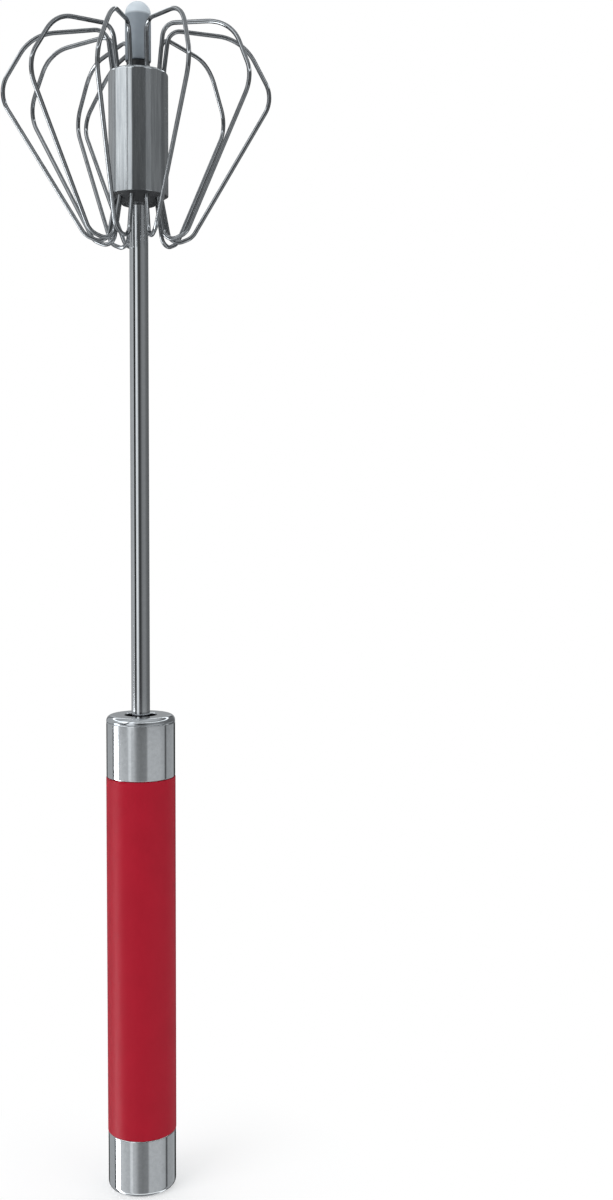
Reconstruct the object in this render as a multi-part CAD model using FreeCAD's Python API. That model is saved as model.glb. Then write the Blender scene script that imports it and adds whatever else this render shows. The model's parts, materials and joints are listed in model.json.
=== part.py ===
import FreeCAD, Part
import math
import os

# Push-down whisk: a long handle, a hollow shaft that slides and turns in it, and a head of bent wire loops.
# A twisted flat strip stands in the handle and runs up inside the shaft. A nut on the shaft's lower end rides
# on the strip, so the head turns when the handle is pushed over the shaft, and a spring pushes it out again.
# Millimetres. The origin is the centre of the handle's flat end, +Z runs up the whisk to its foot.

V = FreeCAD.Vector
UP = V(0, 0, 1)

# Clearances
press_gap = 0.03        # between pieces that are pressed or glued together
running_gap = 0.06      # radial, where one piece turns or slides on another
end_gap = 0.2           # between faces that meet at the end of a movement
slot_gap = 0.15         # on each side of the strip in the nut's slot

# Handle
handle_length = 141.2   # flat end to the plug's top face
band_radius = 10.0
grip_radius = 10.1
tube_radius = 9.2
tube_wall = 0.8
cap_height = 17.2
cap_floor = 1.2
cap_edge = 1.8          # rounding of the cup's bottom edge
ferrule_height = 16.3
plug_flange = 1.9
plug_edge = 1.6         # rounding of the plug's top edge
plug_spigot = 9.0
plug_hole_radius = 4.7
hole_edge = 0.3

# Shaft and its guide
shaft_radius = 2.7
shaft_wall = 0.5
shaft_exposed = 148.8   # from the plug's top face to the hub sleeve
guide_recess = 4.6      # the guide's upper end below the plug's top face
guide_flange = 3.0
guide_nose = 6.0        # length below the flange

# Drive: twisted strip, nut and spring
stroke = 75.0
twist_lead = 32.0
strip_width = 3.6
strip_thick = 0.8
strip_foot = 5.0        # height of the strip's lower end
strip_overlap = 16.0    # length of strip above the nut at rest
strip_pin_radius = 0.75
end_plug_height = 11.0
boss_radius = 4.0
boss_height = 7.0
nut_radius = 5.6
nut_height = 12.0
nut_slot_height = 3.5
nut_pin_radius = 0.5
nut_pin_height = 6.5    # above the nut's lower face
washer_radius = 7.8
washer_thick = 1.0
washer_hole = 2.4
stop_radius = 4.5
stop_thick = 1.5
spring_wire = 0.45      # wire radius
spring_radius = 6.3
spring_turns = 16

# Hub
hub_height = 34.3
sleeve_radius = 8.45
sleeve_wall = 0.5
flat_depth = 0.2        # how far the crimp flats cut into the sleeve
rim_turn_in = 1.0
rim_lip = 0.45
core_recess = 1.8       # the core's top below the sleeve's rim
core_lip = 2.5          # the core below the sleeve
core_lip_radius = 4.7
neck_radius = 3.3
neck_height = 2.8       # above the sleeve's rim

# Foot
foot_radius = 3.65
foot_height = 16.7
foot_pin_radius = 1.5
foot_pin_length = 11.0  # above the neck
foot_head_radius = 1.9
foot_head_height = 1.6
foot_pin_spigot = 12.0  # inside the shaft

# Wire loops
wire_radius = 0.62
loop_count = 10
first_groove = -10.2    # degrees from the front, towards the right
groove_depth = 14.0     # how far each wire end goes into the hub
lower_leg_inset = 1.42  # from the core's side to the middle of a lower wire end
wire_gap = 0.04
rim_notch_gap = 0.1
# How each hand-bent loop differs from the plain one: degrees that it is turned sideways at its knee, shoulder,
# widest point and low bend, then how much higher its shoulder is and how much further it reaches
loop_bends = [
    (0, 4, 1, -8, -0.5, 0.0),
    (-4, 4, 1, -1, 1.0, 0.0),
    (0, 4, -2, 6, 1.5, -0.8),
    (-2, -3, -4, -1, 1.0, -0.8),
    (1, 8, 11, 6, 0.5, 0.8),
    (6, 33, 43, 32, 0.0, -0.5),
    (0, 9, 10, 13, 0.0, 0.0),
    (2, 5, -1, 4, 0.0, 0.8),
    (1, 0, -4, 0, 0.0, 0.3),
    (-1, 6, 6, -11, -0.5, 0.5),
]

# The plain loop. Heights are above the hub's rim for the upper corners and below its lower edge for the others
upper_leg_radius = sleeve_radius - sleeve_wall - press_gap - wire_radius
lower_leg_radius = sleeve_radius - sleeve_wall - press_gap - lower_leg_inset
leg_rise = 1.0
leg_bend = 12.0
knee_radius = upper_leg_radius + 1.4
knee_height = 11.7
knee_bend = 3.6
shoulder_radius = 29.6
shoulder_height = 9.2
shoulder_bend = 13.0
reach_radius = 39.2
reach_height = -6.3
reach_bend = 8.5
low_radius = 15.2
low_drop = 11.3
low_bend = 5.0
heel_radius = lower_leg_radius + 2.5
heel_drop = 13.9
heel_bend = 3.0
entry_drop = 0.7
entry_bend = 8.0

# Heights that follow from these
plug_seam = handle_length - plug_flange
ferrule_base = plug_seam - ferrule_height
tube_bore = tube_radius - tube_wall
inner_radius = tube_bore - press_gap
tube_base = cap_floor + press_gap
end_plug_base = tube_base + press_gap
end_plug_top = end_plug_base + end_plug_height
boss_top = end_plug_top + boss_height
spring_base = end_plug_top + press_gap + washer_thick + press_gap
guide_top = handle_length - guide_recess
guide_flange_top = plug_seam - plug_spigot - press_gap
guide_base = guide_flange_top - guide_flange - guide_nose
nut_top = guide_base - end_gap - stop_thick - press_gap
nut_base = nut_top - nut_height
shaft_base = nut_base + nut_slot_height + press_gap
strip_top = nut_base + nut_slot_height + strip_overlap
washer_base = nut_base - running_gap - washer_thick
hub_base = handle_length + shaft_exposed
hub_top = hub_base + hub_height
core_base = hub_base - core_lip
core_top = hub_top - core_recess
neck_top = hub_top + neck_height
shaft_top = core_top
foot_base = neck_top + end_gap
foot_top = foot_base + foot_height
shaft_bore = shaft_radius - shaft_wall
core_radius = sleeve_radius - sleeve_wall - press_gap
strip_pin_height = end_plug_top + boss_height / 2

assert spring_turns * 2 * spring_wire < washer_base - stroke - spring_base, "the spring would bind"
assert hub_base - heel_drop - stroke > handle_length, "the loops would meet the handle"


def rod(radius, low, high):
    """A solid cylinder on the axis between two heights."""
    return Part.makeCylinder(radius, high - low, V(0, 0, low))


def tube(outer, inner, low, high):
    """A cylinder with a bore right through."""
    return rod(outer, low, high).cut(rod(inner, low - 1, high + 1))


def turned(points):
    """A solid turned about the axis from an outline of (radius, height) points and (middle, end) arcs."""
    edges = []
    here = points[0]
    for step in points[1:] + [points[0]]:
        if isinstance(step[0], tuple):
            middle, end = step
            arc = Part.Arc(V(here[0], 0, here[1]), V(middle[0], 0, middle[1]), V(end[0], 0, end[1]))
            edges.append(arc.toShape())
            here = end
        elif step != here:
            edges.append(Part.LineSegment(V(here[0], 0, here[1]), V(step[0], 0, step[1])).toShape())
            here = step
    face = Part.Face(Part.Wire(edges))
    return Part.makeSolid(face.revolve(V(0, 0, 0), UP, 360))


def rounded_corner(radius, height, bend, out, up):
    """The arc that rounds a corner at (radius, height): its start, middle and end points.

    out and up say which way the corner points, as +1 or -1 each. The arc starts on the upright side.
    """
    centre = (radius - out * bend, height - up * bend)
    reach = bend / math.sqrt(2)
    middle = (centre[0] + out * reach, centre[1] + up * reach)
    return (radius, centre[1]), middle, (centre[0], height)


def rounded_path(points, bends):
    """Straight runs between points, with a tangent arc of the given radius at each inner point."""
    edges = []
    here = points[0]
    for before, corner, after, bend in zip(points, points[1:], points[2:], bends):
        back = before.sub(corner).normalize()
        ahead = after.sub(corner).normalize()
        turn = math.pi - back.getAngle(ahead)
        reach = bend * math.tan(turn / 2)
        start = corner + back * reach
        end = corner + ahead * reach
        middle_line = (back + ahead).normalize()
        middle = corner + middle_line * (bend / math.cos(turn / 2) - bend)
        edges.append(Part.LineSegment(here, start).toShape())
        edges.append(Part.Arc(start, middle, end).toShape())
        here = end
    edges.append(Part.LineSegment(here, points[-1]).toShape())
    return Part.Wire(edges)


def at_azimuth(radius, height, azimuth):
    """A point at an angle round the axis, in degrees from the front towards the right."""
    angle = math.radians(azimuth)
    return V(radius * math.sin(angle), -radius * math.cos(angle), height)


def twist_angle(height):
    """How far the strip has turned at a height, in degrees. It is flat below the top of the end plug's boss."""
    return max(0.0, height - boss_top) * 360 / twist_lead


def twisted_bar(width, thick, low, high):
    """A rectangle carried up the axis while it turns with the strip, from low to high above the boss."""
    corners = [(-width, -thick), (width, -thick), (width, thick), (-width, thick), (-width, -thick)]
    outline = Part.makePolygon([V(x / 2, y / 2, 0) for x, y in corners])
    spine = Part.Wire(Part.makeHelix(twist_lead, high - low, 1.0).Edges)
    bar = spine.makePipeShell([Part.Wire(outline.Edges)], True, True)
    bar.rotate(V(0, 0, 0), UP, twist_angle(low))
    bar.translate(V(0, 0, low))
    return bar


def flat_bar(width, thick, low, high):
    """The strip's straight foot, wide along X."""
    return Part.makeBox(width, thick, high - low, V(-width / 2, -thick / 2, low))


def handle_tube():
    return tube(tube_radius, tube_bore, tube_base, plug_seam - press_gap)


def grip_sleeve():
    """Red sleeve between the cup and the ferrule."""
    return tube(grip_radius, tube_radius + press_gap, cap_height + press_gap, ferrule_base - press_gap)


def top_ferrule():
    return tube(band_radius, tube_radius + press_gap, ferrule_base, plug_seam - press_gap)


def end_cap():
    """Steel cup with a rounded bottom edge, pressed over the tube's lower end."""
    start, middle, end = rounded_corner(band_radius, 0, cap_edge, 1, -1)
    bore = tube_radius + press_gap
    outline = [(0, 0), end, (middle, start), (band_radius, cap_height), (bore, cap_height)]
    return turned(outline + [(bore, cap_floor), (0, cap_floor)])


def top_plug():
    """Polished plug: a flange with a rounded edge, and a spigot in the tube."""
    start, middle, end = rounded_corner(band_radius, handle_length, plug_edge, 1, 1)
    hole_start, hole_middle, hole_end = rounded_corner(plug_hole_radius, handle_length, hole_edge, -1, 1)
    spigot_base = plug_seam - plug_spigot
    outline = [(plug_hole_radius, spigot_base), (inner_radius, spigot_base), (inner_radius, plug_seam)]
    outline += [(band_radius, plug_seam), start, (middle, end), hole_end, (hole_middle, hole_start)]
    return turned(outline)


def shaft_guide():
    """Plastic bush that the shaft slides and turns in, clamped under the plug's spigot."""
    body = rod(plug_hole_radius - press_gap, guide_base, guide_top)
    flange = rod(inner_radius, guide_flange_top - guide_flange, guide_flange_top)
    bore = rod(shaft_radius + running_gap, guide_base - 1, guide_top + 1)
    return body.fuse(flange).cut(bore).removeSplitter()


def strip_pin_cut(gap):
    """Cross pin through the strip's foot, along Y because the foot's flat sides face Y."""
    return Part.makeCylinder(strip_pin_radius + gap, 2 * boss_radius, V(0, -boss_radius, strip_pin_height), V(0, 1, 0))


def end_plug():
    """Plug in the tube's lower end, with a slotted boss that holds the strip's foot."""
    body = rod(inner_radius, end_plug_base, end_plug_top).fuse(rod(boss_radius, end_plug_base, boss_top))
    width = strip_width + 2 * press_gap
    thick = strip_thick + 2 * press_gap
    slot = flat_bar(width, thick, strip_foot - press_gap, boss_top + 1)
    return body.cut(slot).cut(strip_pin_cut(press_gap)).removeSplitter()


def twisted_strip():
    """Flat strip: straight foot in the end plug, then an even right-hand twist."""
    foot = flat_bar(strip_width, strip_thick, strip_foot, boss_top)
    twist = twisted_bar(strip_width, strip_thick, boss_top, strip_top)
    return foot.fuse(twist).cut(strip_pin_cut(press_gap))


def strip_pin():
    return strip_pin_cut(0)


def spring_seat():
    base = end_plug_top + press_gap
    return tube(washer_radius, boss_radius + press_gap, base, base + washer_thick)


def return_spring():
    """Compression spring round the strip, from its seat to the thrust washer."""
    low = spring_base + spring_wire
    high = washer_base - press_gap - spring_wire
    helix = Part.makeHelix((high - low) / spring_turns, high - low, spring_radius)
    section = Part.Wire([Part.Edge(Part.Circle(V(spring_radius, 0, 0), V(0, 1, 0), spring_wire))])
    coil = Part.Wire(helix.Edges).makePipeShell([section], True, True)
    coil.translate(V(0, 0, low))
    return coil


def thrust_washer():
    return tube(washer_radius, washer_hole, washer_base, washer_base + washer_thick)


def shaft_tube():
    return tube(shaft_radius, shaft_bore, shaft_base, shaft_top)


def nut_pin():
    """Two short pins through the nut into the shaft's wall, clear of the strip inside."""
    height = nut_base + nut_pin_height
    inside = shaft_bore
    right = Part.makeCylinder(nut_pin_radius, nut_radius - inside, V(inside, 0, height), V(1, 0, 0))
    left = Part.makeCylinder(nut_pin_radius, nut_radius - inside, V(-inside, 0, height), V(-1, 0, 0))
    return Part.makeCompound([right, left])


def drive_nut():
    """Nut on the shaft's lower end. Its slot turns with the strip that it rides on."""
    body = rod(nut_radius, nut_base, nut_top)
    socket = rod(shaft_radius + press_gap, nut_base + nut_slot_height, nut_top + 1)
    width = strip_width + 2 * slot_gap
    thick = strip_thick + 2 * slot_gap
    slot = twisted_bar(width, thick, nut_base - 1, nut_base + nut_slot_height + 1)
    height = nut_base + nut_pin_height
    pin_hole = Part.makeCylinder(
        nut_pin_radius + press_gap, 2 * nut_radius + 2, V(-nut_radius - 1, 0, height), V(1, 0, 0)
    )
    return body.cut(socket).cut(slot).cut(pin_hole)


def stop_washer():
    """Rubber washer on top of the nut, which meets the guide when the spring is at rest."""
    return tube(stop_radius, shaft_radius + press_gap, nut_top + press_gap, nut_top + press_gap + stop_thick)


def pinned_shaft():
    """The shaft's tube with the holes for the nut's pins."""
    height = nut_base + nut_pin_height
    hole = Part.makeCylinder(
        nut_pin_radius + press_gap, 2 * shaft_radius + 2, V(-shaft_radius - 1, 0, height), V(1, 0, 0)
    )
    return shaft_tube().cut(hole)


def groove_azimuths():
    return [first_groove + k * 360 / loop_count for k in range(loop_count)]


def wire_grooves(leg_radius, low, high, gap):
    """Round grooves along the axis, one for each wire end."""
    return [
        Part.makeCylinder(wire_radius + gap, high - low, at_azimuth(leg_radius, low, azimuth))
        for azimuth in groove_azimuths()
    ]


def hub_core():
    """Plastic core: grooved for the wires, pressed on the shaft, with a cone below and a neck above."""
    outline = [(0, core_base), (core_lip_radius, core_base), (core_radius - press_gap, hub_base)]
    outline += [(core_radius, hub_base), (core_radius, core_top), (neck_radius, core_top)]
    outline += [(neck_radius, neck_top), (0, neck_top)]
    core = turned(outline)
    core = core.cut(rod(shaft_radius + press_gap, core_base - 1, shaft_top + press_gap))
    core = core.cut(rod(foot_pin_radius + press_gap, shaft_top, neck_top + 1))
    depth = groove_depth + press_gap
    for groove in wire_grooves(upper_leg_radius, hub_top - depth, hub_top + 1, wire_gap):
        core = core.cut(groove)
    for groove in wire_grooves(lower_leg_radius, core_base - 1, hub_base + depth, wire_gap):
        core = core.cut(groove)
    return core


def hub_sleeve():
    """Steel sleeve with a flat between each two wires, its upper rim turned in and notched round the wires."""
    inner = sleeve_radius - sleeve_wall
    start, middle, end = rounded_corner(sleeve_radius, hub_top, rim_turn_in, 1, 1)
    bend = rim_turn_in - sleeve_wall
    in_start, in_middle, in_end = rounded_corner(inner, hub_top - sleeve_wall, bend, 1, 1)
    lip = end[0] - rim_lip
    outline = [(inner, hub_base), (sleeve_radius, hub_base), start, (middle, end), (lip, hub_top)]
    outline += [(lip, hub_top - sleeve_wall), in_end, (in_middle, in_start)]
    sleeve = turned(outline)
    apothem = sleeve_radius - flat_depth
    corner = apothem / math.cos(math.pi / loop_count)
    points = [at_azimuth(corner, hub_base, azimuth) for azimuth in groove_azimuths()]
    prism = Part.Face(Part.makePolygon(points + [points[0]])).extrude(V(0, 0, hub_height))
    sleeve = sleeve.common(prism)
    for notch in wire_grooves(upper_leg_radius, hub_top - 2 * rim_turn_in, hub_top + 1, rim_notch_gap):
        sleeve = sleeve.cut(notch)
    return sleeve


def wire_loop(azimuth, bends):
    """One bent wire: up out of the hub, out over the shoulder, down to the low bend and back into the hub."""
    knee, shoulder, widest, low, rise, reach = bends
    corners = [
        (upper_leg_radius, hub_top + leg_rise, leg_bend, 0),
        (knee_radius, hub_top + knee_height + rise / 2, knee_bend, knee),
        (shoulder_radius, hub_top + shoulder_height + rise, shoulder_bend, shoulder),
        (reach_radius + reach, hub_top + reach_height, reach_bend, widest),
        (low_radius, hub_base - low_drop, low_bend, low),
        (heel_radius, hub_base - heel_drop, heel_bend, low / 5),
        (lower_leg_radius, hub_base - entry_drop, entry_bend, 0),
    ]
    points = [at_azimuth(upper_leg_radius, hub_top - groove_depth, azimuth)]
    points += [at_azimuth(radius, height, azimuth + turn) for radius, height, bend, turn in corners]
    points.append(at_azimuth(lower_leg_radius, hub_base + groove_depth, azimuth))
    path = rounded_path(points, [bend for radius, height, bend, turn in corners])
    section = Part.Face(Part.Wire(Part.makeCircle(wire_radius, points[0], UP)))
    return path, path.makePipe(section)


def foot_pin():
    """Headed pin pressed into the shaft's end, for the foot to turn on."""
    spigot = rod(shaft_bore - press_gap, shaft_top - foot_pin_spigot, shaft_top)
    shank = rod(foot_pin_radius, shaft_top - 1, neck_top + foot_pin_length)
    head_base = neck_top + foot_pin_length - foot_head_height
    head = rod(foot_head_radius, head_base, neck_top + foot_pin_length)
    return spigot.fuse([shank, head]).removeSplitter()


def foot_tip():
    """Plastic foot with a domed end, snapped over the pin's head and free to turn."""
    dome_base = foot_top - foot_radius
    reach = foot_radius / math.sqrt(2)
    outline = [(0, foot_base), (foot_radius, foot_base), (foot_radius, dome_base)]
    outline += [((reach, dome_base + reach), (0, foot_top))]
    body = turned(outline)
    pin_top = neck_top + foot_pin_length
    bore = rod(foot_pin_radius + running_gap, foot_base - 1, pin_top)
    chamber = rod(foot_head_radius + running_gap, pin_top - foot_head_height - end_gap, pin_top + end_gap)
    return body.cut(bore.fuse(chamber))


def write(node, shape):
    """Check a piece and write its STEP file."""
    assert shape.isValid(), node
    assert shape.Volume > 0, node
    shape.exportStep("parts/" + node + ".step")
    box = shape.BoundBox
    print(f"{node:16s} solids {len(shape.Solids)}  volume {shape.Volume:9.1f}  z {box.ZMin:7.2f} {box.ZMax:7.2f}")


os.makedirs("parts", exist_ok=True)
pieces = {
    "handle_tube": handle_tube(),
    "grip_sleeve": grip_sleeve(),
    "top_ferrule": top_ferrule(),
    "end_cap": end_cap(),
    "top_plug": top_plug(),
    "shaft_guide": shaft_guide(),
    "end_plug": end_plug(),
    "twisted_strip": twisted_strip(),
    "strip_pin": strip_pin(),
    "spring_seat": spring_seat(),
    "return_spring": return_spring(),
    "thrust_washer": thrust_washer(),
    "shaft_tube": pinned_shaft(),
    "drive_nut": drive_nut(),
    "nut_pin": nut_pin(),
    "stop_washer": stop_washer(),
    "hub_core": hub_core(),
    "hub_sleeve": hub_sleeve(),
    "foot_pin": foot_pin(),
    "foot_tip": foot_tip(),
}
for number, (azimuth, bends) in enumerate(zip(groove_azimuths(), loop_bends), start=1):
    path, loop = wire_loop(azimuth, bends)
    expected = math.pi * wire_radius ** 2 * path.Length
    assert abs(loop.Volume / expected - 1) < 0.01, "a loop's sweep went wrong"
    pieces[f"wire_loop_{number:02d}"] = loop

for node, shape in pieces.items():
    write(node, shape)
print(f"{len(pieces)} nodes, {foot_top:.1f} mm long")
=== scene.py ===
import json
import math

import bpy
import numpy as np
from mathutils import Matrix, Vector


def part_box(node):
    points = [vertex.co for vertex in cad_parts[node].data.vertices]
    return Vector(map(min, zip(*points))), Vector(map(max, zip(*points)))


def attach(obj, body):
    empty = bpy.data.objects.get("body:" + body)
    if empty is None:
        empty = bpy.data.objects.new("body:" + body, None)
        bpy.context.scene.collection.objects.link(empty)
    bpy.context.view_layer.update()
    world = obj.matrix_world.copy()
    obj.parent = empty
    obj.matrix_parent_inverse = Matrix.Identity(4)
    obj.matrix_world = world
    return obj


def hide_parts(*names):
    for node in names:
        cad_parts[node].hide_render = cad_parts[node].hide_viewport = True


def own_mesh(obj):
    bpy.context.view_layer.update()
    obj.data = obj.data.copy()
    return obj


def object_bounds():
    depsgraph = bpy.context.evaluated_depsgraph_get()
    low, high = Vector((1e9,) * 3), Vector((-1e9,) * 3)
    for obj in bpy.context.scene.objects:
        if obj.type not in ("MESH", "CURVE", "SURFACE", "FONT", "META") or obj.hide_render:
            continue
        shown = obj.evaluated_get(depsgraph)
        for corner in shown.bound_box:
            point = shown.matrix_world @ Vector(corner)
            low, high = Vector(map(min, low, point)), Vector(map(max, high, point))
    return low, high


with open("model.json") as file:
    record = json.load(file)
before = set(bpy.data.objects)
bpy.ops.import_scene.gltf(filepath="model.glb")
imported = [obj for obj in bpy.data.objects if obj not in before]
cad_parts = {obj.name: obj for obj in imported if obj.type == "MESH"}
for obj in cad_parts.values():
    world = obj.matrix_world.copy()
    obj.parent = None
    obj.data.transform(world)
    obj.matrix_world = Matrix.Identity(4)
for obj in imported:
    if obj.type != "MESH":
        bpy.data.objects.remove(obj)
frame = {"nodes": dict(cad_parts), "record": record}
cad_low, cad_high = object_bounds()

MM = 0.001
TURNED_SIDES = 160      # steps round a turned piece
ARC_STEPS = 6           # steps in a turned piece's rounded edge
ARC_HOLD = 0.02 * MM    # from an arc's end to the next point of the outline
WIRE_SIDES = 20         # steps round a wire
WIRE_ARC_STEPS = 14     # steps in a wire's bend
EDGE = 0.25 * MM        # broken edge of a steel ring
AXIS = 0.02 * MM        # inner radius of a piece that is solid on the axis
DOME_HEIGHT = 3.7 * MM  # the foot's pale round end


# ---------------------------------------------------------------- node trees


def new_material(name):
    """An empty node material with a Principled shader and its output."""
    material = bpy.data.materials.new(name)
    material.use_nodes = True
    tree = material.node_tree
    shader = tree.nodes["Principled BSDF"]
    return material, tree, shader


def feed(tree, socket, value):
    """Gives a socket a number, a colour of three parts or another node's output."""
    if isinstance(value, bpy.types.NodeSocket):
        tree.links.new(value, socket)
    elif isinstance(value, tuple):
        socket.default_value = (*value, 1)
    else:
        socket.default_value = value


def object_pattern(tree, scale, kind="ShaderNodeTexNoise", **inputs):
    """A texture read from Object coordinates, stretched by scale along X, Y and Z."""
    coordinates = tree.nodes.new("ShaderNodeTexCoord")
    mapping = tree.nodes.new("ShaderNodeMapping")
    mapping.inputs["Scale"].default_value = scale
    texture = tree.nodes.new(kind)
    for name, value in inputs.items():
        texture.inputs[name.replace("_", " ")].default_value = value
    tree.links.new(coordinates.outputs["Object"], mapping.inputs["Vector"])
    tree.links.new(mapping.outputs["Vector"], texture.inputs["Vector"])
    return texture.outputs[0]


def spread(tree, value, low, high, start=0.3, end=0.7):
    """Maps a 0 to 1 pattern onto the range from low to high."""
    remap = tree.nodes.new("ShaderNodeMapRange")
    remap.inputs["From Min"].default_value = start
    remap.inputs["From Max"].default_value = end
    remap.inputs["To Min"].default_value = low
    remap.inputs["To Max"].default_value = high
    tree.links.new(value, remap.inputs["Value"])
    return remap.outputs["Result"]


def two_tones(tree, value, first, second):
    """Blends two colours, or other nodes' colours, by a 0 to 1 pattern."""
    mix = tree.nodes.new("ShaderNodeMix")
    mix.data_type = "RGBA"
    feed(tree, mix.inputs["A"], first)
    feed(tree, mix.inputs["B"], second)
    tree.links.new(value, mix.inputs["Factor"])
    return mix.outputs["Result"]


def add_bump(tree, shader, heights, distance, strength=1.0):
    """Chains bump nodes, one for each height pattern, into the shader's normal."""
    normal = None
    for height in heights:
        bump = tree.nodes.new("ShaderNodeBump")
        bump.inputs["Distance"].default_value = distance
        bump.inputs["Strength"].default_value = strength
        tree.links.new(height, bump.inputs["Height"])
        if normal is not None:
            tree.links.new(normal, bump.inputs["Normal"])
        normal = bump.outputs["Normal"]
    tree.links.new(normal, shader.inputs["Normal"])


def steel(name, light, dark, roughness, grain, grain_depth, mottle=(900, 900, 900)):
    """Bare steel: two close tones in patches, with a stretched grain in its roughness and bump."""
    material, tree, shader = new_material(name)
    patches = object_pattern(tree, mottle, Scale=1.0, Detail=4.0, Roughness=0.6)
    lines = object_pattern(tree, grain, Scale=1.0, Detail=3.0, Roughness=0.7)
    tone = spread(tree, patches, 0.0, 1.0)
    tree.links.new(two_tones(tree, tone, light, dark), shader.inputs["Base Color"])
    tree.links.new(spread(tree, lines, *roughness), shader.inputs["Roughness"])
    shader.inputs["Metallic"].default_value = 1.0
    add_bump(tree, shader, [lines], grain_depth)
    return material


def plastic(name, light, dark, roughness, texture, depth, shine=0.5):
    """Moulded plastic: two close tones, a fine skin texture and varying gloss."""
    material, tree, shader = new_material(name)
    clouds = object_pattern(tree, (120.0,) * 3, Scale=1.0, Detail=3.0)
    skin = object_pattern(tree, (texture,) * 3, Scale=1.0, Detail=2.0)
    tone = spread(tree, clouds, 0.0, 1.0)
    tree.links.new(two_tones(tree, tone, light, dark), shader.inputs["Base Color"])
    tree.links.new(spread(tree, skin, *roughness), shader.inputs["Roughness"])
    shader.inputs["Specular IOR Level"].default_value = shine
    add_bump(tree, shader, [skin], depth)
    return material


def foot_plastic():
    """Milky plastic: its solid dome is painted pale as light from above, and the body below the dome is
    painted darker as shade.
    """
    material, tree, shader = new_material("foot_plastic")
    coordinates = tree.nodes.new("ShaderNodeTexCoord")
    split = tree.nodes.new("ShaderNodeSeparateXYZ")
    tree.links.new(coordinates.outputs["Object"], split.inputs[0])
    # Height where the painted shade on the body turns into the painted pale light on the dome
    dome = cad_high.z - DOME_HEIGHT
    share = spread(tree, split.outputs["Z"], 0.0, 1.0, start=dome - 0.5 * MM, end=dome + 0.2 * MM)
    clouds = object_pattern(tree, (300.0,) * 3, Scale=1.0, Detail=3.0)
    # The body's two tones differ at random, and both are painted shade, darker than the painted light on the
    # dome
    body = two_tones(tree, spread(tree, clouds, 0.0, 1.0), (0.24, 0.275, 0.31), (0.21, 0.24, 0.27))
    tree.links.new(two_tones(tree, share, body, (0.58, 0.64, 0.69)), shader.inputs["Base Color"])
    shader.inputs["Roughness"].default_value = 0.35
    return material


# Each steel: light tone, dark tone, roughness range, grain per metre along X, Y and Z, and the grain's depth
STEELS = {
    "satin_steel": ((0.62, 0.635, 0.65), (0.55, 0.565, 0.58), (0.06, 0.10), (2600, 2600, 900), 0.0008 * MM),
    "bright_steel": ((0.60, 0.62, 0.64), (0.55, 0.57, 0.59), (0.07, 0.12), (2400, 2400, 900), 0.0006 * MM),
    "shaft_steel": ((0.62, 0.635, 0.65), (0.57, 0.585, 0.60), (0.05, 0.09), (3200, 3200, 60), 0.0005 * MM),
    # The wire steel's tones are far darker than the other steels': painted shade standing in for the dark
    # reflections along the round wires
    "wire_steel": ((0.30, 0.31, 0.32), (0.22, 0.23, 0.24), (0.05, 0.08), (2000, 2000, 400), 0.0006 * MM),
    "spring_steel": ((0.42, 0.42, 0.43), (0.34, 0.34, 0.35), (0.2, 0.35), (900, 900, 900), 0.002 * MM),
    "inner_steel": ((0.52, 0.52, 0.53), (0.44, 0.44, 0.45), (0.25, 0.4), (800, 800, 200), 0.003 * MM),
}
# Each plastic: light tone, dark tone, roughness range, skin texture per metre and its depth
PLASTICS = {
    "dark_plastic": ((0.022, 0.023, 0.025), (0.015, 0.016, 0.018), (0.35, 0.5), 1500, 0.004 * MM),
    "inner_plastic": ((0.66, 0.65, 0.60), (0.60, 0.59, 0.55), (0.4, 0.5), 1500, 0.004 * MM),
    "stop_rubber": ((0.03, 0.03, 0.03), (0.02, 0.02, 0.02), (0.6, 0.75), 1800, 0.006 * MM),
}
FINISHES = {name: steel(name, *values) for name, values in STEELS.items()}
FINISHES |= {name: plastic(name, *values) for name, values in PLASTICS.items()}
FINISHES["sleeve_steel"] = steel("sleeve_steel", (0.58, 0.60, 0.615), (0.40, 0.42, 0.435), (0.10, 0.20),
                                 (1800, 1800, 60), 0.002 * MM, mottle=(1100, 1100, 70))
FINISHES["red_grip"] = plastic("red_grip", (0.385, 0.0015, 0.017), (0.355, 0.001, 0.015), (0.44, 0.50),
                               2600, 0.001 * MM, shine=0.22)
FINISHES["foot_plastic"] = foot_plastic()


# ---------------------------------------------------------------- surfaces


def grid_piece(name, points, close_u=True, close_v=False, sharp=35.0):
    """A mesh from a grid of points with shape (u, v, 3), joined round in u or v where it closes."""
    count_u, count_v = points.shape[:2]
    rows_u = np.arange(count_u if close_u else count_u - 1)
    rows_v = np.arange(count_v if close_v else count_v - 1)
    u, v = np.meshgrid(rows_u, rows_v, indexing="ij")
    next_u, next_v = (u + 1) % count_u, (v + 1) % count_v
    corners = [u * count_v + v, next_u * count_v + v,
               next_u * count_v + next_v, u * count_v + next_v]
    faces = np.stack(corners, axis=-1).reshape(-1, 4)
    mesh = bpy.data.meshes.new(name)
    mesh.from_pydata(points.reshape(-1, 3), [], faces)
    uv = mesh.uv_layers.new(name="along")
    share_u = np.stack([u, u + 1, u + 1, u], axis=-1).reshape(-1) / max(count_u, 1)
    share_v = np.stack([v, v, v + 1, v + 1], axis=-1).reshape(-1) / max(count_v, 1)
    uv.data.foreach_set("uv", np.stack([share_u, share_v], axis=-1).ravel())
    mesh.validate()
    mesh.polygons.foreach_set("use_smooth", np.ones(len(mesh.polygons), bool))
    mesh.set_sharp_from_angle(angle=math.radians(sharp))
    piece = bpy.data.objects.new(name, mesh)
    bpy.context.scene.collection.objects.link(piece)
    return piece


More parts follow.
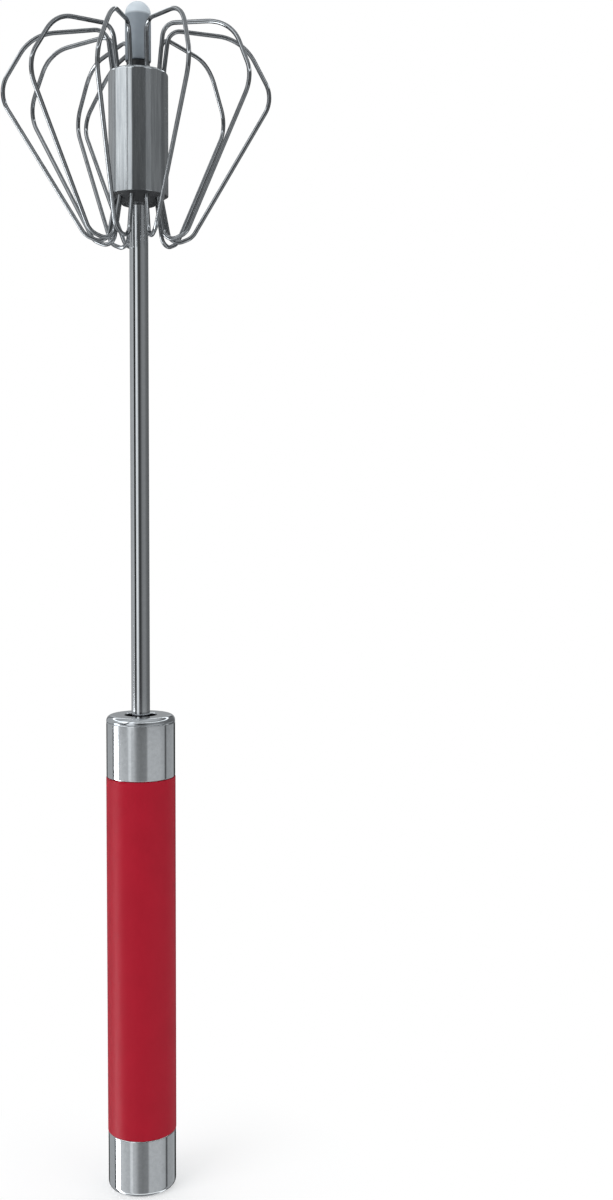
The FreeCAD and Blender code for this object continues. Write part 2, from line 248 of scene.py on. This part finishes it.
def tangent_arc(before, corner, after, bend, steps):
    """An arc of radius bend that touches both straight runs at a corner.

    Its points turn evenly about the centre, from the first tangent point to the last. The unit directions
    back and ahead along the two runs are returned with them.
    """
    back, ahead = before - corner, after - corner
    back, ahead = back / np.linalg.norm(back), ahead / np.linalg.norm(ahead)
    half = math.acos(float(np.clip(back @ ahead, -1, 1))) / 2
    centre = corner + (back + ahead) / np.linalg.norm(back + ahead) * bend / math.sin(half)
    reach = bend / math.tan(half)
    first, last = corner + back * reach - centre, corner + ahead * reach - centre
    sweep = math.pi - 2 * half
    step = np.linspace(0, 1, steps + 1)[:, None]
    arc = centre + (np.sin((1 - step) * sweep) * first + np.sin(step * sweep) * last) / math.sin(sweep)
    return arc, back, ahead


def rounded(corners):
    """An outline of (radius, height, bend) corners as points, each bend a tangent arc in ARC_STEPS steps.

    A point just beyond each end of an arc keeps the shading of the straight run next to it flat.
    """
    corners = [np.array(corner, float) for corner in corners]
    points = []
    for before, here, after in zip(corners[-1:] + corners[:-1], corners, corners[1:] + corners[:1]):
        if here[2] == 0:
            points.append(here[None, :2])
            continue
        arc, back, ahead = tangent_arc(before[:2], here[:2], after[:2], here[2], ARC_STEPS)
        points.append(np.concatenate([arc[:1] + back * ARC_HOLD, arc, arc[-1:] + ahead * ARC_HOLD]))
    return np.concatenate(points)


def turned(name, corners, sides=TURNED_SIDES):
    """A ring turned about the axis: the outline is carried round a circle, radius times (sin, -cos)."""
    outline = rounded(corners)
    angle = np.arange(sides) * (2 * math.pi / sides)
    x = outline[None, :, 0] * np.sin(angle)[:, None]
    y = -outline[None, :, 0] * np.cos(angle)[:, None]
    z = np.broadcast_to(outline[None, :, 1], x.shape)
    return outwards(grid_piece(name, np.stack([x, y, z], axis=-1), close_v=True))


def outwards(piece):
    """Turns the faces of a closed piece outwards, by the sign of its volume."""
    mesh = piece.data
    points = np.empty(len(mesh.vertices) * 3)
    mesh.vertices.foreach_get("co", points)
    points = points.reshape(-1, 3)
    mesh.calc_loop_triangles()
    triangles = np.empty(len(mesh.loop_triangles) * 3, np.int32)
    mesh.loop_triangles.foreach_get("vertices", triangles)
    a, b, c = points[triangles.reshape(-1, 3)].transpose(1, 0, 2)
    if np.einsum("ij,ij->i", a, np.cross(b, c)).sum() < 0:
        mesh.flip_normals()
    return piece


def ring_corners(inner, outer, low, high, inner_edge=EDGE, outer_edge=EDGE):
    """The outline of a plain ring with broken edges."""
    return [(inner, low, inner_edge), (outer, low, outer_edge),
            (outer, high, outer_edge), (inner, high, inner_edge)]


def reach_of(node):
    """A turned CAD node's radius, lowest and highest point, from its box."""
    low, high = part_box(node)
    return (high.x - low.x) / 2, low.z, high.z


def finish_piece(piece, finish, body, *nodes):
    """Gives a piece its material, its body and the CAD nodes that it stands for."""
    piece.data.materials.append(FINISHES[finish])
    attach(piece, body)
    if nodes:
        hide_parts(*nodes)
    return piece


# ---------------------------------------------------------------- sizes that the CAD boxes don't give

TUBE_RADIUS = reach_of("handle_tube")[0]
FIT = 0.03 * MM
CAP_EDGE = 1.8 * MM
CAP_FLOOR = 1.2 * MM
PLUG_EDGE = 1.6 * MM
PLUG_FLANGE = 1.9 * MM
HOLE_RADIUS = 4.7 * MM
HOLE_EDGE = 0.3 * MM
SHAFT_BORE = 2.2 * MM
SLEEVE_RADIUS = 8.45 * MM
SLEEVE_WALL = 0.5 * MM
FLAT_DEPTH = 0.2 * MM
RIM_TURN_IN = 1.0 * MM
RIM_LIP = 0.45 * MM
NOTCH_GAP = 0.1 * MM     # between a wire and its notch in the sleeve's rim
NOTCH_WALL = 0.3 * MM    # what a notch leaves of the sleeve's outside
FOOT_BORE = 1.56 * MM
FOOT_CHAMBER = 1.96 * MM # round the pin's head
WIRE_RADIUS = 0.62 * MM
GROOVE_DEPTH = 14.0 * MM
SPRING_WIRE = 0.45 * MM
SPRING_TURNS = 16
SPRING_STEPS = 36        # points in one turn
LOOPS = 10
FIRST_GROOVE = -10.2     # degrees from the front towards the right
UPPER_LEG = 7.3 * MM
LOWER_LEG = 6.5 * MM
WIRE_STEP = 0.6 * MM     # between points along a wire loop
# How each loop differs from the plain one: degrees that it is turned sideways at its knee, shoulder, widest
# point and low bend, then how many millimetres higher its shoulder is and how much further it reaches
LOOP_BENDS = [
    (0, 4, 1, -8, -0.5, 0.0),
    (-4, 4, 1, -1, 1.0, 0.0),
    (0, 4, -2, 6, 1.5, -0.8),
    (-2, -3, -4, -1, 1.0, -0.8),
    (1, 8, 11, 6, 0.5, 0.8),
    (6, 33, 43, 32, 0.0, -0.5),
    (0, 9, 10, 13, 0.0, 0.0),
    (2, 5, -1, 4, 0.0, 0.8),
    (1, 0, -4, 0, 0.0, 0.3),
    (-1, 6, 6, -11, -0.5, 0.5),
]

_, HUB_BASE, HUB_TOP = reach_of("hub_sleeve")


# ---------------------------------------------------------------- handle


def make_end_cap():
    """Steel cup with a rolled bottom edge, closed below."""
    radius, low, high = reach_of("end_cap")
    bore = TUBE_RADIUS + FIT
    corners = [(AXIS, low, 0), (radius, low, CAP_EDGE), (radius, high, 0.4 * MM), (bore, high, EDGE)]
    corners += [(bore, CAP_FLOOR, 0), (AXIS, CAP_FLOOR, 0)]
    return finish_piece(turned("end_cup", corners), "satin_steel", "handle", "end_cap")


def make_grip():
    radius, low, high = reach_of("grip_sleeve")
    piece = turned("red_sleeve", ring_corners(TUBE_RADIUS + FIT, radius, low, high, outer_edge=0.12 * MM))
    return finish_piece(piece, "red_grip", "handle", "grip_sleeve")


def make_ferrule():
    radius, low, high = reach_of("top_ferrule")
    piece = turned("upper_band", ring_corners(TUBE_RADIUS + FIT, radius, low, high, outer_edge=0.35 * MM))
    return finish_piece(piece, "satin_steel", "handle", "top_ferrule")


def make_plug():
    """Polished plug: rounded flange, countersunk hole and a spigot below."""
    radius, low, high = reach_of("top_plug")
    spigot = TUBE_RADIUS - 0.8 * MM - FIT
    seam = high - PLUG_FLANGE
    corners = [(HOLE_RADIUS, low, 0), (spigot, low, 0), (spigot, seam, 0), (radius, seam, 0.15 * MM)]
    corners += [(radius, high, PLUG_EDGE), (HOLE_RADIUS, high, HOLE_EDGE)]
    return finish_piece(turned("mouth_plug", corners), "bright_steel", "handle", "top_plug")


# ---------------------------------------------------------------- shaft and hub


def make_shaft():
    radius, low, high = reach_of("shaft_tube")
    piece = turned("polished_shaft", ring_corners(SHAFT_BORE, radius, low, high, 0, 0.1 * MM))
    return finish_piece(piece, "shaft_steel", "head", "shaft_tube")


def groove_angles():
    """The azimuths of the wire ends, in radians from the front towards the right."""
    return np.radians(FIRST_GROOVE + np.arange(LOOPS) * 360 / LOOPS)


def from_nearest_groove(angle):
    """How far each angle is from the nearest wire end, in radians, signed."""
    step = 2 * math.pi / LOOPS
    return (angle - math.radians(FIRST_GROOVE) + step / 2) % step - step / 2


def make_sleeve():
    """Crimped steel sleeve: a turned shell whose outside is the smaller of a circle and ten flats.

    The rim turns in over the core, and its lip stands back in a round notch at each wire.
    """
    radius = SLEEVE_RADIUS
    inner = radius - SLEEVE_WALL
    lip = radius - RIM_TURN_IN - RIM_LIP
    corners = [(inner, HUB_BASE, 0.05 * MM), (radius, HUB_BASE, 0.15 * MM)]
    corners += [(radius, HUB_TOP, RIM_TURN_IN), (lip, HUB_TOP, 0.1 * MM)]
    corners += [(lip, HUB_TOP - SLEEVE_WALL, 0.1 * MM)]
    corners += [(inner, HUB_TOP - SLEEVE_WALL, 0.45 * MM)]
    outline = rounded(corners)
    sides = LOOPS * 40
    angle = np.arange(sides) * (2 * math.pi / sides)
    off = from_nearest_groove(angle)
    apothem = radius - FLAT_DEPTH
    flat = apothem / np.cos(math.pi / LOOPS - np.abs(off))
    notch_radius = WIRE_RADIUS + NOTCH_GAP
    across = UPPER_LEG * off
    notch = np.sqrt(np.clip(notch_radius ** 2 - across ** 2, 0, None))
    stand_back = np.where(notch > 0, UPPER_LEG + notch, 0)
    r = np.minimum(outline[None, :, 0], flat[:, None])
    near_rim = outline[None, :, 1] > HUB_TOP - 2 * RIM_TURN_IN
    held = np.minimum(stand_back[:, None], radius - NOTCH_WALL)
    r = np.where(near_rim, np.maximum(r, held), r)
    on_rim = near_rim & (outline[None, :, 1] > HUB_TOP - 0.6 * RIM_TURN_IN)
    r = np.where(on_rim, r, np.minimum(r, flat[:, None]))
    x, y = r * np.sin(angle)[:, None], -r * np.cos(angle)[:, None]
    z = np.broadcast_to(outline[None, :, 1], x.shape)
    piece = outwards(grid_piece("crimped_sleeve", np.stack([x, y, z], axis=-1), close_v=True))
    return finish_piece(piece, "sleeve_steel", "head", "hub_sleeve")


def make_foot():
    """Plastic foot with a round end, hollow below for its pin and wider round the pin's head."""
    radius, low, high = reach_of("foot_tip")
    pin_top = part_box("foot_pin")[1].z
    bore, chamber = FOOT_BORE, FOOT_CHAMBER
    roof, step = pin_top + 0.2 * MM, pin_top - 1.8 * MM
    corners = [(bore, low, 0.1 * MM), (radius, low, 0.35 * MM), (radius, high, radius - 0.05 * MM)]
    corners += [(AXIS, high, 0), (AXIS, roof, 0), (chamber, roof, 0), (chamber, step, 0), (bore, step, 0)]
    return finish_piece(turned("round_foot", corners), "foot_plastic", "foot", "foot_tip")


# ---------------------------------------------------------------- wire loops


def bent_line(corners, bends):
    """Points along straight runs joined by tangent arcs, one arc at each inner corner."""
    corners = np.array(corners, float)
    points = [corners[:1]]
    for before, corner, after, bend in zip(corners, corners[1:], corners[2:], bends):
        points.append(tangent_arc(before, corner, after, bend, WIRE_ARC_STEPS)[0])
    points.append(corners[-1:])
    return np.concatenate(points)


def evenly(points, spacing):
    """The same line with points at even steps along its length."""
    length = np.concatenate([[0], np.cumsum(np.linalg.norm(np.diff(points, axis=0), axis=1))])
    at = np.linspace(0, length[-1], int(length[-1] / spacing) + 1)
    return np.stack([np.interp(at, length, points[:, axis]) for axis in range(3)], axis=-1)


def wire(name, line, radius, side):
    """A round wire: a circle carried along a line. Its frame is the line's direction and one steady side."""
    ahead = np.gradient(line, axis=0)
    ahead /= np.linalg.norm(ahead, axis=1, keepdims=True)
    across = np.cross(ahead, side)
    across /= np.linalg.norm(across, axis=1, keepdims=True)
    up = np.cross(across, ahead)
    angle = np.arange(WIRE_SIDES) * (2 * math.pi / WIRE_SIDES)
    ring = np.cos(angle)[None, :, None] * across[:, None] + np.sin(angle)[None, :, None] * up[:, None]
    skin = line[:, None] + radius * ring
    ends = np.array([0, len(line) - 1])
    caps = np.repeat(line[ends, None], WIRE_SIDES, axis=1)
    skin = np.concatenate([caps[:1], skin, caps[1:]])
    piece = grid_piece(name, skin.transpose(1, 0, 2), close_u=True)
    return outwards(piece)


def at_azimuth(radius, height, azimuth):
    """A point at an angle round the axis, in degrees from the front towards the right."""
    angle = math.radians(azimuth)
    return (radius * math.sin(angle), -radius * math.cos(angle), height)


def make_loop(number, azimuth, bends):
    """One wire loop: up out of the hub, over its shoulder, down to the low bend and back into the hub.

    Each corner is a radius in mm, a height, a bend in mm and a turn in degrees.
    """
    knee, shoulder, widest, low, rise, reach = bends
    corners = [
        (7.3, HUB_TOP + 1.0 * MM, 12.0, 0),
        (8.7, HUB_TOP + (11.7 + rise / 2) * MM, 3.6, knee),
        (29.6, HUB_TOP + (9.2 + rise) * MM, 13.0, shoulder),
        (39.2 + reach, HUB_TOP - 6.3 * MM, 8.5, widest),
        (15.2, HUB_BASE - 11.3 * MM, 5.0, low),
        (9.0, HUB_BASE - 13.9 * MM, 3.0, low / 5),
        (6.5, HUB_BASE - 0.7 * MM, 8.0, 0),
    ]
    points = [at_azimuth(UPPER_LEG, HUB_TOP - GROOVE_DEPTH, azimuth)]
    points += [at_azimuth(radius * MM, height, azimuth + turn) for radius, height, _, turn in corners]
    points.append(at_azimuth(LOWER_LEG, HUB_BASE + GROOVE_DEPTH, azimuth))
    line = evenly(bent_line(points, [corner[2] * MM for corner in corners]), WIRE_STEP)
    middle = math.radians(azimuth + widest / 2)
    side = np.array([math.cos(middle), math.sin(middle), 0])
    piece = wire(f"bent_wire_{number:02d}", line, WIRE_RADIUS, side)
    return finish_piece(piece, "wire_steel", "head", f"wire_loop_{number:02d}")


# ---------------------------------------------------------------- spring


def make_spring():
    """Return spring: a wire on an even helix."""
    low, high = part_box("return_spring")
    radius = high.x - SPRING_WIRE
    angle = np.linspace(0, 2 * math.pi * SPRING_TURNS, SPRING_TURNS * SPRING_STEPS + 1)
    height = np.linspace(low.z + SPRING_WIRE, high.z - SPRING_WIRE, len(angle))
    line = np.stack([radius * np.cos(angle), radius * np.sin(angle), height], axis=-1)
    piece = wire("coil_spring", line, SPRING_WIRE, np.array([0, 0, 1]))
    finish_piece(piece, "spring_steel", "handle", "return_spring")
    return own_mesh(piece)


# ---------------------------------------------------------------- pieces that keep their CAD shape


def dress_cad_nodes():
    """Each CAD node that still shows gets its slot's finish."""
    slots = {entry["node"]: entry["material_slot"] for entry in frame["record"]["subparts"]}
    for name, node in frame["nodes"].items():
        if not node.hide_render:
            node.data.materials.clear()
            node.data.materials.append(FINISHES[slots[name]])


# ---------------------------------------------------------------- stage, light and camera

CAMERA_DISTANCE = 0.4053
CAMERA_HEIGHT = 0.2028
CAMERA_OFFSET = 0.0483   # the camera stands this far to the right of the whisk
CAMERA_PITCH = 3.94      # degrees downwards
CAMERA_ROLL = 0.24
CAMERA_LENS = 41.94


def make_floor():
    """White floor with the whisk's soft shadow.

    It turns to plain white further out. The steel doesn't mirror it, nor the white behind the whisk.
    """
    half = 3.0
    points = np.array([[[-half, -half, 0], [half, -half, 0]], [[-half, half, 0], [half, half, 0]]])
    floor = grid_piece("floor", points, close_u=False)
    floor.location.z = cad_low.z
    material, tree, shader = new_material("floor_white")
    shader.inputs["Base Color"].default_value = (0.98, 0.98, 0.98, 1)
    shader.inputs["Roughness"].default_value = 0.9
    shader.inputs["Specular IOR Level"].default_value = 0.0
    coordinates = tree.nodes.new("ShaderNodeTexCoord")
    distance = tree.nodes.new("ShaderNodeVectorMath")
    distance.operation = "LENGTH"
    tree.links.new(coordinates.outputs["Object"], distance.inputs[0])
    far = spread(tree, distance.outputs["Value"], 0.4, 1.0, start=0.012, end=0.07)
    path = tree.nodes.new("ShaderNodeLightPath")
    seen_far = arithmetic(tree, "MULTIPLY", far, path.outputs["Is Camera Ray"])
    glow = tree.nodes.new("ShaderNodeEmission")
    seen = choose_by(tree, seen_far, shader.outputs[0], glow.outputs[0])
    tree.links.new(seen, tree.nodes["Material Output"].inputs["Surface"])
    floor.data.materials.append(material)
    floor.visible_glossy = False


# What polished steel sees round the studio: azimuth in degrees from the camera towards the right, and
# brightness. Narrow bright stops are strip lights, dark ones the gaps between the screens. The low ring is
# seen in the handle, the middle one in the shaft and the high one in the head. The rings are fitted to this
# camera, and most of the steel's light and dark bands come from them, not from its material.
LOW_RING = [
    (-180, 0.03), (-154, 0.05), (-146, 0.50), (-110, 0.55), (-107, 0.06), (-101, 0.06), (-99, 10.0),
    (-84, 10.0), (-82, 0.88), (-60, 0.72), (-44, 0.66), (-41, 1.0), (-34, 1.0), (-32, 0.72),
    (-24, 0.66), (-12, 0.34), (0, 0.28), (18, 0.32), (24, 0.66), (66, 0.64), (85, 0.52), (88, 0.12),
    (93, 0.12), (96, 0.46), (140, 0.50), (148, 0.04), (180, 0.03),
]
MIDDLE_RING = [
    (-180, 0.40), (-165, 0.40), (-160, 0.15), (-150, 0.50), (-110, 0.55), (-76, 0.62), (-73, 0.04),
    (-50, 0.04), (-46, 1.15), (-24, 1.1), (-20, 0.40), (-9, 0.06), (6, 0.06), (14, 0.14), (30, 0.30),
    (60, 0.33), (90, 0.20), (130, 0.16), (150, 0.20), (165, 0.40), (180, 0.40),
]
HIGH_RING = [
    (-180, 0.60), (-168, 0.55), (-163, 0.10), (-152, 0.45), (-110, 0.60), (-88, 0.66), (-78, 1.3),
    (-54, 1.5), (-50, 0.10), (-43, 0.10), (-40, 1.2), (-29, 1.2), (-24, 0.50), (-12, 0.36), (-6, 0.16),
    (4, 0.16), (16, 0.20), (28, 0.34), (52, 0.36), (80, 0.24), (112, 0.18), (150, 0.20), (163, 0.08),
    (168, 0.55), (180, 0.60),
]
# What is added to the rings from straight down (-1) to straight up (1): the table, a bright line along its
# edge, a ring of lamps and the ceiling. The rings fade out where the table and the ceiling begin.
STUDIO_HEIGHT = [
    (-1.0, 0.30), (-0.88, 0.40), (-0.86, 1.6), (-0.78, 1.6), (-0.76, 0.0), (0.52, 0.0), (0.54, 2.2),
    (0.60, 2.2), (0.62, 0.0), (0.70, 0.0), (0.85, 0.60), (1.0, 0.70),
]


# Where the middle ring and then the high ring take over, from straight down (-1) to straight up (1)
RING_STEPS = [(-0.154, -0.150, MIDDLE_RING), (0.198, 0.206, HIGH_RING)]
MATT_LIGHT = 0.62        # the world's brightness for all but the camera and the steel


def level_curve(tree, value, stops):
    """Brightness along a value, in straight lines between (value, brightness) stops."""
    start, end = stops[0][0], stops[-1][0]
    top = max(level for _, level in stops)
    share = spread(tree, value, 0.0, 1.0, start=start, end=end)
    ramp = tree.nodes.new("ShaderNodeFloatCurve")
    curve = ramp.mapping.curves[0]
    places = [((at - start) / (end - start), level / top) for at, level in stops]
    for place in places[1:-1]:
        curve.points.new(*place)
    curve.points[0].location = places[0]
    curve.points[-1].location = places[-1]
    for point in curve.points:
        point.handle_type = "VECTOR"
    ramp.mapping.update()
    tree.links.new(share, ramp.inputs["Value"])
    return arithmetic(tree, "MULTIPLY", ramp.outputs[0], top)


def arithmetic(tree, operation, *values):
    """A maths node over values that are numbers or other nodes' outputs."""
    node = tree.nodes.new("ShaderNodeMath")
    node.operation = operation
    for socket, value in zip(node.inputs, values):
        feed(tree, socket, value)
    return node.outputs[0]


def blend(tree, share, first, second):
    """The second value where share is 1, the first where it is 0."""
    kept = arithmetic(tree, "MULTIPLY", first, arithmetic(tree, "SUBTRACT", 1.0, share))
    return arithmetic(tree, "MULTIPLY_ADD", second, share, kept)


def backdrop(tree, strength, colour=(0.95, 0.98, 1.0)):
    """One background of the world, with its brightness as a number or another node's output."""
    node = tree.nodes.new("ShaderNodeBackground")
    feed(tree, node.inputs["Color"], colour)
    feed(tree, node.inputs["Strength"], strength)
    return node.outputs[0]


def choose_by(tree, share, first, second):
    """The second shader where share is 1, the first where it is 0."""
    mix = tree.nodes.new("ShaderNodeMixShader")
    tree.links.new(share, mix.inputs["Fac"])
    tree.links.new(first, mix.inputs[1])
    tree.links.new(second, mix.inputs[2])
    return mix.outputs[0]


def make_world():
    """White to the camera, even grey light for matt surfaces, and screens and strips for the steel.

    The steel mirrors the screens and strips, not the white that the camera sees.
    """
    world = bpy.data.worlds.new("studio")
    bpy.context.scene.world = world
    world.use_nodes = True
    tree = world.node_tree
    tree.nodes.clear()
    coordinates = tree.nodes.new("ShaderNodeTexCoord")
    split = tree.nodes.new("ShaderNodeSeparateXYZ")
    tree.links.new(coordinates.outputs["Generated"], split.inputs[0])
    right, back, up = split.outputs
    azimuth = arithmetic(tree, "ARCTAN2", right, arithmetic(tree, "MULTIPLY", back, -1.0))
    from_camera = math.degrees(math.atan2(CAMERA_OFFSET, CAMERA_DISTANCE))
    degrees = arithmetic(tree, "MULTIPLY_ADD", azimuth, 180 / math.pi, -from_camera)
    ring = level_curve(tree, degrees, LOW_RING)
    for start, end, stops in RING_STEPS:
        above = spread(tree, up, 0.0, 1.0, start=start, end=end)
        ring = blend(tree, above, ring, level_curve(tree, degrees, stops))
    steep = spread(tree, arithmetic(tree, "ABSOLUTE", up), 0.0, 1.0, start=0.70, end=0.85)
    walls = arithmetic(tree, "MULTIPLY", ring, arithmetic(tree, "SUBTRACT", 1.0, steep))
    shiny = backdrop(tree, arithmetic(tree, "ADD", walls, level_curve(tree, up, STUDIO_HEIGHT)))
    path = tree.nodes.new("ShaderNodeLightPath")
    lit = choose_by(tree, path.outputs["Is Glossy Ray"], backdrop(tree, MATT_LIGHT), shiny)
    seen = choose_by(tree, path.outputs["Is Camera Ray"], lit, backdrop(tree, 1.0, (1, 1, 1)))
    output = tree.nodes.new("ShaderNodeOutputWorld")
    tree.links.new(seen, output.inputs["Surface"])


def make_lamp(name, place, power, size):
    """A soft square lamp aimed at the middle of the whisk. It lights matt surfaces only."""
    data = bpy.data.lights.new(name, "AREA")
    data.energy = power
    data.size = size
    lamp = bpy.data.objects.new(name, data)
    bpy.context.scene.collection.objects.link(lamp)
    lamp.location = place
    aim = (cad_low + cad_high) / 2 - Vector(place)
    lamp.rotation_euler = aim.to_track_quat("-Z", "Y").to_euler()
    lamp.visible_glossy = False
    return lamp


def make_lights():
    """The world, and three soft lamps by place, power in watts and size in metres."""
    make_world()
    make_lamp("key", (-0.9, -0.9, 1.2), 9.0, 0.9)
    make_lamp("fill", (1.1, -0.8, 0.8), 3.0, 1.0)
    make_lamp("top", (0.0, 0.3, 1.5), 5.0, 0.9)


def make_camera():
    data = bpy.data.cameras.new("camera")
    data.lens = CAMERA_LENS
    data.sensor_width = 36.0
    data.clip_start = 0.01
    camera = bpy.data.objects.new("camera", data)
    bpy.context.scene.collection.objects.link(camera)
    camera.location = (CAMERA_OFFSET, -CAMERA_DISTANCE, CAMERA_HEIGHT)
    tilt = Matrix.Rotation(math.radians(90 - CAMERA_PITCH), 4, "X")
    roll = Matrix.Rotation(math.radians(CAMERA_ROLL), 4, "Z")
    camera.rotation_euler = (tilt @ roll).to_euler()
    bpy.context.scene.camera = camera


def make_whisk():
    make_end_cap()
    make_grip()
    make_ferrule()
    make_plug()
    make_shaft()
    make_sleeve()
    make_foot()
    make_spring()
    azimuths = np.degrees(groove_angles())
    for number, (azimuth, bends) in enumerate(zip(azimuths, LOOP_BENDS), start=1):
        make_loop(number, azimuth, bends)
    dress_cad_nodes()


bpy.context.scene.view_settings.view_transform = "Standard"
make_camera()
make_floor()
make_lights()
make_whisk()
